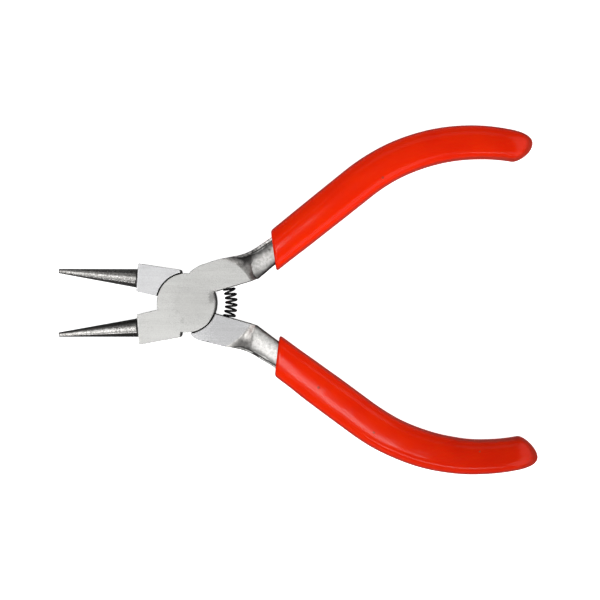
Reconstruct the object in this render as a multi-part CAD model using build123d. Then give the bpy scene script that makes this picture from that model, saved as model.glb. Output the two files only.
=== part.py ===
"""Round nose pliers with a lap joint, a coil return spring and two dipped vinyl grips.

Frame: the pliers lie flat on their back ground face. Origin where the pivot axis meets that
face, +Z up along the pivot axis, +X along the tool towards the handle ends (the jaws point
to -X), +Y towards the front half's handle. Millimetres.

The two halves are the same kind of forging. Each is modelled in one orientation, jaw at -Y and
handle at +Y with its joint lap on top, and the back half is then turned over about the X axis.
The model stands at the spring's free opening.
"""
import os
from math import cos, sin, tan, radians, pi, atan2, degrees, hypot

from build123d import *

# ---------------------------------------------------------------- driving dimensions
T = 8.6                     # joint thickness, both ground faces
ZM = T / 2                  # mid-plane
LAP_GAP = 0.02              # each lap stands this far off the mid-plane
R_DISC = 7.35               # joint lap disc
R_RECESS = 7.52             # recess in the other half that clears the disc
OPEN_HALF = 12.75           # half of the jaw opening at rest, degrees
JAW_FACE_GAP = 0.05         # each jaw block face stands this far off the closing plane

CONE_R_BASE = 2.38          # round jaw at the block
CONE_R_TIP = 0.58           # round jaw at its tip

NECK_HT = 3.0               # half thickness of the forged neck
TANG_HW = 2.95              # half width of the tang in plan
TANG_END_S = 60.0           # tang length along the handle line from the handle datum
SCOOP_RUN = 3.4             # length over which the ground pad falls to the neck

RIVET_R = 2.0
RIVET_HEAD_R = 2.85
RIVET_HEAD_H = 0.95
RIVET_RUNNING = 0.04        # radial clearance in the half that turns on the rivet

SPRING_R_AXIS = 10.95       # the spring's axis is an arc about the pivot
SPRING_R_COIL = 1.33        # mean coil radius
SPRING_WIRE_R = 0.28
POCKET_R = 1.85
POCKET_DEPTH = 2.35
POCKET_END_CLEAR = 0.18     # between the spring's end and the pocket's floor


SECTION_POWER = 2 / 2.7      # rounded rectangle grip section
SECTION_POINTS = 20

# Handle datum: start point and heading of the straight stretch, its length, then one arc.
FRONT = dict(
    fillets=(0.8, 0.8),                   # rounded neck edges, lower face and lap face
    block_in=12.62,                       # jaw block length along its closing face
    block_out=(-11.72, -10.38),           # front outer corner of the jaw block
    block_rear=(-1.62, -8.53),            # rear outer corner
    cone_base=(-12.03, -6.15), cone_tip=(-32.2, -7.93),
    neck_start=[(0.62, 6.6), (0.70, 7.28), (1.08, 7.86), (1.80, 8.42), (2.45, 8.82)],
    neck_outer=[(3.02, 9.19), (5.0, 9.88), (6.97, 10.52), (8.95, 11.10), (10.93, 11.55),
                (12.9, 11.93), (14.73, 12.52), (16.73, 13.55), (18.73, 14.86)],
    neck_inner=[(17.75, 6.42), (15.5, 5.72), (13.05, 5.00), (6.50, 3.05), (5.2, 2.66)],
    datum=(23.054, 14.212), heading=38.52, straight=25.43, bend_r=46.24,
    pocket_angle=22.1,
    pad_centre=(9.5, 4.5), pad_r=6.3, pad_from=-60, pad_to=95,          # on the lap side
    pad2_centre=(-3.03, -10.95), pad2_r=25.0, pad2_from=15, pad2_to=62,  # on the other side
    # length along the handle, outer edge, inner edge, half thickness
    grip_sections=[(-7.5, 4.28, -4.28, 4.15), (0, 4.34, -4.34, 4.2), (8, 4.46, -4.46, 4.26), (18, 4.55, -4.55, 4.285), (28, 4.56, -4.56, 4.285),
                   (38, 4.53, -4.53, 4.285), (48, 4.42, -4.42, 4.25), (55, 4.26, -4.26, 4.15), (61, 4.10, -4.10, 4.0),
                   (65.2, 3.95, -3.90, 3.75), (67.6, 3.78, -3.50, 3.35), (69.1, 3.4, -2.6, 2.7), (70.2, 2.75, -1.3, 1.8), (70.8, 1.7, -0.1, 0.85)],
    mouth_out=(20.78, 17.18), mouth_in=(22.05, 8.60),
)
BACK = dict(
    fillets=(0.8, 0.4),
    block_in=12.72,
    block_out=(-11.94, -9.81),
    block_rear=(-1.62, -8.27),
    cone_base=(-12.15, -6.10), cone_tip=(-32.2, -7.95),
    neck_start=[(0.78, 6.6), (0.90, 7.35), (1.25, 8.0), (1.75, 8.50), (2.25, 8.86)],
    neck_outer=[(3.02, 9.17), (5.0, 9.70), (6.97, 10.20), (8.95, 10.70), (10.93, 11.15),
                (12.9, 11.55), (14.73, 12.12), (16.73, 13.08), (18.73, 14.36)],
    neck_inner=[(17.4, 5.88), (15.62, 5.34), (12.28, 4.35), (8.65, 3.33), (5.2, 2.36)],
    datum=(23.044, 13.456), heading=36.56, straight=25.91, bend_r=48.78,
    pocket_angle=20.4,
    pad_centre=(9.5, 4.3), pad_r=6.25, pad_from=-60, pad_to=95,
    pad2_centre=(-3.03, -11.15), pad2_r=25.0, pad2_from=15, pad2_to=62,
    grip_sections=[(-7.5, 4.38, -4.26, 4.15), (0, 4.50, -4.36, 4.2), (8, 4.66, -4.52, 4.26), (18, 4.80, -4.70, 4.285), (28, 4.76, -4.72, 4.285),
                   (38, 4.70, -4.70, 4.285), (48, 4.60, -4.60, 4.25), (55, 4.42, -4.42, 4.15), (61, 4.25, -4.33, 4.0),
                   (65.2, 4.03, -4.15, 3.75), (68.0, 3.72, -3.75, 3.35), (69.7, 3.3, -2.75, 2.7), (70.8, 2.72, -1.2, 1.9), (71.35, 1.9, 0.2, 0.85)],
    mouth_out=(21.75, 17.28), mouth_in=(22.85, 8.75),
)


# ---------------------------------------------------------------- handle line
def along(p, s, n=0.0):
    """Point at length s along the handle line, n millimetres to its outer side."""
    x0, y0 = p["datum"]
    h = radians(p["heading"])
    if s <= p["straight"]:
        x, y, t = x0 + s * cos(h), y0 + s * sin(h), h
    else:
        r = p["bend_r"]
        cx = x0 + p["straight"] * cos(h) + r * sin(h)
        cy = y0 + p["straight"] * sin(h) - r * cos(h)
        t = h - (s - p["straight"]) / r
        x, y = cx - r * sin(t), cy + r * cos(t)
    return (x - n * sin(t), y + n * cos(t))


# ---------------------------------------------------------------- one forging
def ring_cutter(centre, r0, a0, a1, top):
    """Takes the forging down from the ground pad's edge to the neck, over everything beyond it."""
    z_pad, z_neck = (T, ZM + NECK_HT) if top else (0.0, ZM - NECK_HT)
    out = T + 3 if top else -3
    r1 = r0 + SCOOP_RUN
    mid = (r0 + 0.34 * SCOOP_RUN, z_neck + (z_pad - z_neck) * 0.34)
    prof = Plane.XZ * make_face(
        [
            ThreePointArc((r0, z_pad), mid, (r1, z_neck)),
            Line((r1, z_neck), (r1 + 90, z_neck)),
            Line((r1 + 90, z_neck), (r1 + 90, out)),
            Line((r1 + 90, out), (r0, out)),
            Line((r0, out), (r0, z_pad)),
        ]
    )
    cut = revolve(prof, Axis.Z, revolution_arc=a1 - a0)
    return Pos(centre[0], centre[1], 0) * (Rot(0, 0, a0) * cut)


def half(p, rivet_clear):
    """One forging, jaw at -Y, handle at +Y, its joint lap above the mid-plane."""
    th = radians(OPEN_HALF)
    u, n = (-cos(th), -sin(th)), (sin(th), -cos(th))

    def face_pt(t):
        return (t * u[0] + JAW_FACE_GAP * n[0], t * u[1] + JAW_FACE_GAP * n[1])

    block = make_face(Polyline(
        [face_pt(p["block_in"]), p["block_out"], p["block_rear"], (-1.38, -7.0), (0.6, -1.0), face_pt(0.2)],
        close=True))
    disc = Circle(R_DISC)

    s1 = p["straight"]
    end = TANG_END_S
    outer = [
        Polyline(p["neck_start"] + [p["neck_outer"][0]]),
        Spline(p["neck_outer"] + [along(p, -1.2, TANG_HW + 0.12), along(p, 1.5, TANG_HW)],
               tangents=[(0.94, 0.33), (cos(radians(p["heading"])), sin(radians(p["heading"])))]),
        Line(along(p, 1.5, TANG_HW), along(p, s1, TANG_HW)),
        ThreePointArc(along(p, s1, TANG_HW), along(p, (s1 + end) / 2, TANG_HW), along(p, end, TANG_HW)),
        ThreePointArc(along(p, end, TANG_HW), along(p, end + TANG_HW, 0), along(p, end, -TANG_HW)),
        ThreePointArc(along(p, end, -TANG_HW), along(p, (s1 + end) / 2, -TANG_HW), along(p, s1, -TANG_HW)),
        Line(along(p, s1, -TANG_HW), along(p, -4.6, -TANG_HW)),
        Polyline([along(p, -4.6, -TANG_HW)] + p["neck_inner"] + [p["neck_start"][0]]),
    ]
    neck = make_face([e for c in outer for e in c.edges()])
    body = extrude(Sketch() + [block, disc, neck], amount=T)

    # the recess that takes the other half's lap
    body -= Cylinder(R_RECESS, ZM + LAP_GAP, align=(Align.CENTER, Align.CENTER, Align.MIN))
    # ground pads end in a scoop down to the forged neck, on both faces
    body -= ring_cutter(p["pad_centre"], p["pad_r"], p["pad_from"], p["pad_to"], True)
    body -= ring_cutter(p["pad2_centre"], p["pad2_r"], p["pad2_from"], p["pad2_to"], False)

    # rounded edges along the neck and tang
    for z, r in ((ZM - NECK_HT, p["fillets"][0]), (ZM + NECK_HT, p["fillets"][1])):
        rim = [e for e in body.edges()
               if abs(e.bounding_box().min.Z - z) < 1e-4 and abs(e.bounding_box().max.Z - z) < 1e-4
               and (e.geom_type != GeomType.CIRCLE or e.bounding_box().max.X > 30)]
        body = fillet(rim, r)

    # the round jaw
    bx, by = p["cone_base"]
    tx, ty = p["cone_tip"]
    length = hypot(tx - bx, ty - by)
    grow = (CONE_R_BASE - CONE_R_TIP) / length
    prof = Plane.XZ * make_face(Polyline(
        [(0, -1.2), (CONE_R_BASE, -1.2), (CONE_R_BASE, 0), (CONE_R_TIP + 0.12 * grow, length - 0.12),
         (CONE_R_TIP - 0.12, length), (0, length)], close=True))
    cone = revolve(prof, Axis.Z)
    where = Plane(origin=(bx, by, ZM), x_dir=(0, 0, 1), z_dir=(tx - bx, ty - by, 0))
    body += where * cone

    # rivet hole and its countersink
    c = rivet_clear
    body -= Cylinder(RIVET_R + c, T + 2, align=(Align.CENTER, Align.CENTER, Align.MIN))
    sink = revolve(Plane.XZ * make_face(Polyline(
        [(0, T - RIVET_HEAD_H - c), (RIVET_R + c, T - RIVET_HEAD_H - c), (RIVET_HEAD_R + c, T), (RIVET_HEAD_R + c, T + 1), (0, T + 1)],
        close=True)), Axis.Z)
    body -= sink

    # blind pocket for the spring, drilled along the spring's own line
    a = radians(p["pocket_angle"])
    mouth = (SPRING_R_AXIS * cos(a), SPRING_R_AXIS * sin(a))
    d = radians(p["pocket_angle"] + degrees(POCKET_DEPTH / SPRING_R_AXIS) * 0.5)
    drill = Plane(origin=(mouth[0], mouth[1], ZM), x_dir=(0, 0, 1), z_dir=(-sin(d), cos(d), 0))
    body -= drill.offset(-2.0) * Cylinder(POCKET_R, POCKET_DEPTH + 2.0, align=(Align.CENTER, Align.CENTER, Align.MIN))
    return body.solids().sort_by(SortBy.VOLUME)[-1], body


# ---------------------------------------------------------------- one grip
def grip(p, forging):
    """Vinyl sleeve lofted through rounded sections along the handle line, mouth cut square to X."""
    sections = []
    for s, out, inn, ht in p["grip_sections"]:
        w, c = (out - inn) / 2, (out + inn) / 2
        ring = []
        for k in range(SECTION_POINTS):
            a = 2 * pi * k / SECTION_POINTS
            ca, sa = cos(a), sin(a)
            ring.append((w * (abs(ca) ** SECTION_POWER) * (1 if ca >= 0 else -1),
                         ht * (abs(sa) ** SECTION_POWER) * (1 if sa >= 0 else -1)))
        x, y = along(p, s, c)
        x2, y2 = along(p, s, c + 1)
        across = (x2 - x, y2 - y, 0)
        where = Plane(origin=(x, y, ZM), x_dir=across, z_dir=(across[1], -across[0], 0))
        sections.append(make_face(where * Spline(ring, periodic=True)))
    skin = loft(sections)
    mo, mi = p["mouth_out"], p["mouth_in"]
    tilt = degrees(atan2(mo[1] - mi[1], mo[0] - mi[0]))
    waste = Pos((mo[0] + mi[0]) / 2, (mo[1] + mi[1]) / 2, ZM) * Rot(0, 0, tilt) * Box(
        40, 30, 20, align=(Align.CENTER, Align.MIN, Align.CENTER))
    skin -= waste
    return skin.solids().sort_by(SortBy.VOLUME)[-1] - forging


# ---------------------------------------------------------------- build
front_half, front_all = half(FRONT, 0.0)
back_own, back_all = half(BACK, RIVET_RUNNING)
print("pieces left by the cuts:", len(front_all.solids()), len(back_all.solids()))
turn_over = Pos(0, 0, ZM) * Rot(180, 0, 0) * Pos(0, 0, -ZM)
back_half = turn_over * back_own
upper_grip = grip(FRONT, front_half)
lower_grip = turn_over * grip(BACK, back_own)

rivet = revolve(Plane.XZ * make_face(Polyline(
    [(0, 0), (RIVET_HEAD_R, 0), (RIVET_R, RIVET_HEAD_H), (RIVET_R, T - RIVET_HEAD_H), (RIVET_HEAD_R, T), (0, T)],
    close=True)), Axis.Z)

# return spring: a coil wound round an arc about the pivot, end coils closed
phi0 = FRONT["pocket_angle"] + degrees((POCKET_DEPTH - POCKET_END_CLEAR - SPRING_WIRE_R) / SPRING_R_AXIS)
phi1 = -(BACK["pocket_angle"] + degrees((POCKET_DEPTH - POCKET_END_CLEAR - SPRING_WIRE_R) / SPRING_R_AXIS))
closed_pitch = degrees(2.06 * SPRING_WIRE_R / SPRING_R_AXIS)
active_turns = 8.75
pitch = (phi0 - phi1 - 2 * closed_pitch) / active_turns
turns = active_turns + 2
PER_TURN = 9
pts = []
for i in range(int(turns * PER_TURN) + 1):
    t = i / PER_TURN
    run = min(t, 1) * closed_pitch + max(0, min(t - 1, active_turns)) * pitch + max(0, t - 1 - active_turns) * closed_pitch
    f, w = radians(phi0 - run), 2 * pi * t + 0.6
    r = SPRING_R_AXIS + SPRING_R_COIL * cos(w)
    pts.append((r * cos(f), r * sin(f), ZM + SPRING_R_COIL * sin(w)))
seg = min(hypot(hypot(b[0] - a[0], b[1] - a[1]), b[2] - a[2]) for a, b in zip(pts, pts[1:]))
bend = 0.45 * seg / tan(pi / PER_TURN)
print("spring turns", turns, "pitch mm", pitch * pi / 180 * SPRING_R_AXIS, "bend radius", bend)
line = FilletPolyline(pts, radius=bend)
start = line % 0
coil = sweep(Plane(origin=pts[0], z_dir=start) * Circle(SPRING_WIRE_R), path=line)
print("spring volume", coil.volume, "section x length", pi * SPRING_WIRE_R ** 2 * line.length)

os.makedirs("parts", exist_ok=True)
for name, shape in {
    "front_half": front_half, "back_half": back_half, "pivot_rivet": rivet,
    "return_spring": coil, "upper_grip": upper_grip, "lower_grip": lower_grip,
}.items():
    shape.label = name
    export_step(shape, f"parts/{name}.step")
    print(name, "valid", shape.is_valid, "volume", round(shape.volume, 2))
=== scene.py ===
"""Looks for the round nose pliers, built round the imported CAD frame. Works in millimetres until each mesh is made.

The steel halves are meshed from a signed distance field: ground pads, lapped discs, scooped necks with a
forging flash, drilled spring pockets and round jaws. The vinyl sleeves, spring and rivet are lofted.
"""

import math
from math import cos, sin, radians, degrees, pi, hypot, atan2

import bpy
import numpy as np
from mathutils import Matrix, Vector


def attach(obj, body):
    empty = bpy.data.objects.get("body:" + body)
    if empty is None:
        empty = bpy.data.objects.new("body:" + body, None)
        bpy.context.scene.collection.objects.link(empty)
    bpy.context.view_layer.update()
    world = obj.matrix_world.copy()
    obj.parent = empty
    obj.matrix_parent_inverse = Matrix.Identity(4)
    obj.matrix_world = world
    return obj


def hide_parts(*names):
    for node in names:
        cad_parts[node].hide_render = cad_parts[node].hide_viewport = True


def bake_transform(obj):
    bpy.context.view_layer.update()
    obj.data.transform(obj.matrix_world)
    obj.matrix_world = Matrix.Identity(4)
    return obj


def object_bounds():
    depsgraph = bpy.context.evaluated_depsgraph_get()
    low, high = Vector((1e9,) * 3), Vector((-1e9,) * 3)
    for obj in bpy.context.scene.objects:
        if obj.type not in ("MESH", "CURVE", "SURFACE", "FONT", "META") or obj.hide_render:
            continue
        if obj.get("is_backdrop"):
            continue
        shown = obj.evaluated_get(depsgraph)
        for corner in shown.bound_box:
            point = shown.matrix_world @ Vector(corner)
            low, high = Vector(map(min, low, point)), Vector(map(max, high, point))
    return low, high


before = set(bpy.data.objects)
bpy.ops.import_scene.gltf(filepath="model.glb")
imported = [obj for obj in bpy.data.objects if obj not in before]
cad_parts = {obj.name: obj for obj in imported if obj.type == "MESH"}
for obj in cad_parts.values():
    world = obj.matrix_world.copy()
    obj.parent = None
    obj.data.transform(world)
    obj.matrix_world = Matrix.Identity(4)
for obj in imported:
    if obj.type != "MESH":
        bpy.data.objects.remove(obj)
CAD_BOX = [list(v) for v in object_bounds()]
MM = 0.001

# ---------------------------------------------------------------- sizes, as in the CAD part
T = 8.6
ZM = T / 2
LAP_GAP = 0.02
R_DISC, R_RECESS = 7.33, 7.60
OPEN_HALF = 12.75
CONE_R_BASE, CONE_R_TIP = 2.38, 0.58
NECK_HT = 3.0
TANG_HW = 2.95
SCOOP_RUN = 3.4
FACE_SINK = 0.008             # the ground faces stand this far under the rivet's
SPRING_R_AXIS, SPRING_R_COIL, SPRING_WIRE_R = 10.95, 1.33, 0.28
POCKET_R, POCKET_DEPTH = 1.85, 2.35
RIVET_R, RIVET_HEAD_R, RIVET_HEAD_H = 2.0, 2.85, 0.95

FRONT = dict(
    block_in=12.62, block_out=(-11.72, -10.38), block_rear=(-1.62, -8.53),
    cone_base=(-12.03, -6.15), cone_tip=(-32.2, -7.93),
    neck_start=[(0.62, 6.6), (0.70, 7.28), (1.08, 7.86), (1.80, 8.42), (2.45, 8.82)],
    neck_outer=[(3.02, 9.19), (5.0, 9.88), (6.97, 10.52), (8.95, 11.10), (10.93, 11.55),
                (12.9, 11.93), (14.73, 12.52), (16.73, 13.55), (18.73, 14.86)],
    neck_inner=[(17.87, 6.11), (15.6, 5.37), (13.15, 4.63), (6.60, 2.72), (5.2, 2.33)],
    datum=(23.054, 14.212), heading=38.52, straight=25.43, bend_r=46.24,
    pocket_angle=22.1,
    middle=(1.4862e-3, -4.4444e-2, 0.69786, 3.64655),
    w_out=[(-8, 4.34), (0, 4.43), (8, 4.56), (18, 4.64), (28, 4.62), (38, 4.54), (48, 4.41), (55, 4.25), (61, 4.09), (72, 4.05)],
    w_in=[(-8, 4.36), (0, 4.46), (8, 4.60), (18, 4.68), (28, 4.66), (38, 4.58), (48, 4.47), (55, 4.31), (61, 4.10), (67, 3.82), (72, 3.75)],
    heights=[(-8, 4.12), (0, 4.18), (8, 4.24), (18, 4.27), (28, 4.27), (38, 4.27), (48, 4.23), (55, 4.13), (61, 3.98), (72, 3.98)],
    mouth=(-1.99, 0.593),
    nose=dict(outer=(64.0, 2.9), inner=(66.7, 1.66), top=(61.0, 2.4), tip=70.74, centre=0.80),
)
BACK = dict(
    block_in=12.72, block_out=(-11.94, -9.81), block_rear=(-1.62, -8.27),
    cone_base=(-12.15, -6.10), cone_tip=(-32.2, -7.95),
    neck_start=[(0.78, 6.6), (0.90, 7.35), (1.25, 8.0), (1.75, 8.50), (2.25, 8.86)],
    neck_outer=[(3.02, 9.17), (5.0, 9.70), (6.97, 10.20), (8.95, 10.70), (10.93, 11.15),
                (12.9, 11.55), (14.73, 12.12), (16.73, 13.08), (18.73, 14.36)],
    neck_inner=[(17.5, 5.66), (15.68, 5.11), (12.34, 4.14), (8.70, 3.14), (5.2, 2.18)],
    datum=(23.044, 13.456), heading=36.56, straight=25.91, bend_r=48.78,
    pocket_angle=20.4,
    middle=(1.2408e-3, -3.5235e-2, 0.57319, 3.83012),
    w_out=[(-8, 4.44), (0, 4.60), (8, 4.77), (18, 4.90), (28, 4.84), (38, 4.73), (48, 4.59), (55, 4.41), (61, 4.24), (72, 4.15)],
    w_in=[(-8, 4.24), (0, 4.35), (8, 4.51), (18, 4.69), (28, 4.71), (38, 4.69), (48, 4.59), (55, 4.41), (61, 4.32), (68, 4.20), (72, 4.15)],
    heights=[(-8, 4.12), (0, 4.18), (8, 4.24), (18, 4.27), (28, 4.27), (38, 4.27), (48, 4.23), (55, 4.13), (61, 3.98), (72, 3.98)],
    mouth=(-0.793, 0.570),
    nose=dict(outer=(65.0, 2.9), inner=(67.5, 1.62), top=(61.2, 2.4), tip=71.28, centre=1.2),
)


# ---------------------------------------------------------------- handle line
def along(p, s, n=0.0):
    """Points at length s on the handle line and n to its outer side, for arrays."""
    s, n = np.broadcast_arrays(np.asarray(s, float), np.asarray(n, float))
    x0, y0 = p["datum"]
    h, L, r = radians(p["heading"]), p["straight"], p["bend_r"]
    t = h - np.maximum(s - L, 0) / r
    cx, cy = x0 + L * cos(h) + r * sin(h), y0 + L * sin(h) - r * cos(h)
    x = np.where(s <= L, x0 + s * cos(h), cx - r * np.sin(t))
    y = np.where(s <= L, y0 + s * sin(h), cy + r * np.cos(t))
    return x - n * np.sin(t), y + n * np.cos(t)


def curve_through(table, s):
    """Smooth cubic through a table of (s, value)."""
    xs, ys = np.array([a for a, _ in table], float), np.array([b for _, b in table], float)
    m = np.gradient(ys, xs)
    s = np.clip(np.asarray(s, float), xs[0], xs[-1])
    i = np.clip(np.searchsorted(xs, s) - 1, 0, len(xs) - 2)
    d = xs[i + 1] - xs[i]
    t = (s - xs[i]) / d
    return ((2 * t**3 - 3 * t**2 + 1) * ys[i] + (t**3 - 2 * t**2 + t) * d * m[i]
            + (-2 * t**3 + 3 * t**2) * ys[i + 1] + (t**3 - t**2) * d * m[i + 1])


def smooth(t):
    t = np.clip(t, 0, 1)
    return t * t * (3 - 2 * t)


def rounded_max(a, b, r):
    """Intersection of two fields with a rounded edge of radius r."""
    return np.minimum(-r, np.maximum(a, b)) + np.hypot(np.maximum(a + r, 0), np.maximum(b + r, 0))


def smooth_min(a, b, k):
    h = np.clip(0.5 + 0.5 * (b - a) / k, 0, 1)
    return b + (a - b) * h - k * h * (1 - h)


def polygon_sd(x, y, poly):
    """Signed distance to a closed polygon, negative inside."""
    poly = np.asarray(poly, float)
    best = np.full(x.shape, 1e9)
    inside = np.zeros(x.shape, bool)
    for (ax, ay), (bx, by) in zip(poly, np.roll(poly, -1, axis=0)):
        ex, ey = bx - ax, by - ay
        px, py = x - ax, y - ay
        t = np.clip((px * ex + py * ey) / (ex * ex + ey * ey), 0, 1)
        best = np.minimum(best, (px - t * ex) ** 2 + (py - t * ey) ** 2)
        if ey != 0:
            cross = (ay > y) != (by > y)
            inside ^= cross & (x < ex * (y - ay) / ey + ax)
    d = np.sqrt(best)
    return np.where(inside, -d, d)


def spline_points(pts, t0, t1, per=8):
    """Centripetal-free cubic through points with given end tangents."""
    pts = np.asarray(pts, float)
    chord = np.concatenate([[0], np.cumsum(np.hypot(*np.diff(pts, axis=0).T))])
    m = np.gradient(pts, chord, axis=0)
    m[0], m[-1] = t0, t1
    out = []
    for i in range(len(pts) - 1):
        d = chord[i + 1] - chord[i]
        t = np.linspace(0, 1, per, endpoint=False)[:, None]
        out.append((2 * t**3 - 3 * t**2 + 1) * pts[i] + (t**3 - 2 * t**2 + t) * d * m[i]
                   + (-2 * t**3 + 3 * t**2) * pts[i + 1] + (t**3 - t**2) * d * m[i + 1])
    return [tuple(q) for q in np.concatenate(out)]


# ---------------------------------------------------------------- the forging as a distance field
class Forging:
    """One half in its own orientation: jaw at -Y, handle at +Y, its joint lap on top."""

    def __init__(self, p):
        self.p = p
        h = radians(p["heading"])
        L, end = p["straight"], 60.0
        P = lambda s, n: tuple(float(v) for v in along(p, s, n))
        outer = spline_points(p["neck_outer"] + [P(-1.2, TANG_HW + 0.12), P(1.5, TANG_HW)], (0.94, 0.33), (cos(h), sin(h)))
        tang_out = [P(s, TANG_HW) for s in [1.5, L] + list(np.linspace(L, end, 10)[1:])]
        cap = [(end + TANG_HW * sin(a), TANG_HW * cos(a)) for a in np.linspace(0, pi, 9)[1:-1]]
        tang_in = [P(s, -TANG_HW) for s in list(np.linspace(end, L, 10)[:-1]) + [L, -4.6]]
        self.neck = p["neck_start"] + outer + tang_out + [P(s, n) for s, n in cap] + tang_in + p["neck_inner"]
        th = radians(OPEN_HALF)
        self.n_face = (-sin(th), cos(th))            # outwards from the jaw's closing face
        bx, by = p["cone_base"]
        tx, ty = p["cone_tip"]
        self.cone_len = hypot(tx - bx, ty - by)
        self.cone_dir = ((tx - bx) / self.cone_len, (ty - by) / self.cone_len)

    def plan(self, x, y):
        """Plan distances of the jaw block, disc and neck."""
        p = self.p
        face = x * self.n_face[0] + y * self.n_face[1] + 0.05
        a = (-p["block_in"] * cos(radians(OPEN_HALF)), -p["block_in"] * sin(radians(OPEN_HALF)))
        b, c = p["block_out"], p["block_rear"]

        def side(q, w):
            ex, ey = w[0] - q[0], w[1] - q[1]
            n = hypot(ex, ey)
            return ((x - q[0]) * ey - (y - q[1]) * ex) / n
        end, outer, rear = side(a, b), side(b, c), side(c, (-1.38, -7.0))
        block = rounded_max(face, end, 0.12)
        block = rounded_max(block, outer, 0.15)
        block = rounded_max(block, rear, 0.35)
        block = np.maximum(block, x + 0.9)
        disc = np.hypot(x, y) - R_DISC
        neck = polygon_sd(x, y, self.neck)
        return block, disc, neck

    def across(self, x, y):
        """Distance across the neck from its middle line, positive to the outer side."""
        c = self.p["middle"]
        u = np.clip(x, 6.5, 23.0)
        return (y - np.polyval(c, u)) / np.hypot(1, np.polyval(np.polyder(np.array(c)), u))

    def past_pad(self, x, y):
        """How far a point lies past the end of the ground pad, on the lap side and the other side."""
        e = (x - 12.13) * 0.816 - (y - 8.27) * 0.578
        top = (x - 8.73) * 0.578 + (y - 10.69) * 0.816 - 1.05 * np.clip(1 - (e / 4.4) ** 2, -0.2, 1)
        e = (x - 12.75) * 0.736 - (y - 8.03) * 0.678
        low = (x - 15.54) * 0.678 + (y - 5.47) * 0.736 - 0.5 * np.clip(1 - (e / 4.0) ** 2, -0.2, 1)
        return np.where(x > 4, top, -1.0), np.where(x > 4, low, -1.0)

    def fields2d(self, x, y):
        return self.plan(x, y) + self.past_pad(x, y) + (self.across(x, y),)

    def solid(self, x, y, z, f2):
        block, disc, neck, past_t, past_b, lat = f2
        flat = np.minimum(np.minimum(block, disc), neck)
        radius = np.hypot(x, y)

        # the ground face rolls over into a hollow: creased against the neck on the lap side, eased out on the other
        drop = ZM - NECK_HT
        run = np.clip(2.5 + np.where(lat < 0, 0.45, 1.4) * lat, 1.6, 5.0)
        u = np.clip(past_t / run, 0, 1)
        dt, st = drop * u ** 1.6, 1.6 * drop / run * u ** 0.6 * (u < 1)
        run = np.clip(3.1 + 0.6 * lat, 2.0, 4.5)
        u = np.clip(past_b / run, 0, 1)
        db, sb = drop * smooth(u), drop * 6 * u * (1 - u) / run
        grow_t, grow_b = smooth((past_t + 0.1) / 3.4), smooth((past_b + 0.1) / 3.4)
        # crowned neck past each pad, its outer side set in from the trimmed flash land; crisp ground edges before it
        outer_side = smooth(((y - 7.5) * cos(0.56) - (x - 9.0) * sin(0.56) + 0.8) / 1.6)
        inset = 0.08 + (0.88 if self.p is FRONT else 0.74) * outer_side
        edge = 0.08 + 0.31 * smooth((x - 5.2) / 1.4) * smooth((neck - 0.05) / 0.5)
        mid = np.clip(neck + 2.9, 0, 3) ** 2 * 0.035        # the crown's fall from the middle of the neck
        top = rounded_max(flat + inset * grow_t, (z - (T - FACE_SINK) + dt + mid * grow_t) / np.sqrt(1 + st * st), edge + 0.62 * grow_t)
        low = rounded_max(flat + inset * grow_b, (FACE_SINK + db + mid * grow_b - z) / np.sqrt(1 + sb * sb), edge + 0.62 * grow_b)
        body = np.maximum(top, low)
        # the thin land left where the forging's flash was trimmed
        land = rounded_max(neck, np.abs(z - ZM) - 0.6, 0.10)
        land = np.maximum(land, 7.7 - radius)
        body = smooth_min(body, land, 0.12)
        # recess for the other half's lap
        recess = np.maximum(radius - R_RECESS, z - (ZM + LAP_GAP))
        body = rounded_max(body, -recess, 0.10)
        # round jaw
        bx, by = self.p["cone_base"]
        ux, uy = self.cone_dir
        a = (x - bx) * ux + (y - by) * uy
        b = np.hypot((x - bx) * uy - (y - by) * ux, z - ZM)
        slope = (CONE_R_BASE - CONE_R_TIP) / self.cone_len
        cone = (b - (CONE_R_BASE - slope * a)) / math.sqrt(1 + slope * slope)
        cone = rounded_max(cone, a - self.cone_len, 0.15)
        cone = np.maximum(cone, -1.0 - a)
        body = smooth_min(body, cone, 0.16)
        # spring pocket
        pa = radians(self.p["pocket_angle"])
        da = pa + POCKET_DEPTH / SPRING_R_AXIS * 0.5
        mx, my = SPRING_R_AXIS * cos(pa), SPRING_R_AXIS * sin(pa)
        qx, qy = -sin(da), cos(da)
        t = (x - mx) * qx + (y - my) * qy
        w = np.hypot((x - mx) * qy - (y - my) * qx, z - ZM)
        pocket = np.maximum(w - POCKET_R, np.abs(t - (POCKET_DEPTH - 2.0) / 2) - (POCKET_DEPTH + 2.0) / 2)
        body = np.maximum(body, -pocket)
        # rivet hole, a little inside the rivet so no gap shows
        bore = radius - (RIVET_R - 0.02)
        sink = (radius - (RIVET_R - 0.02) - (z - (T - RIVET_HEAD_H)) * (RIVET_HEAD_R - RIVET_R - 0.15) / RIVET_HEAD_H)
        sink = np.maximum(sink, T - RIVET_HEAD_H - z)
        body = np.maximum(body, -np.minimum(bore, sink))
        return body

    def at(self, q):
        x, y, z = q.T
        return self.solid(x, y, z, self.fields2d(x, y))


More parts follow.
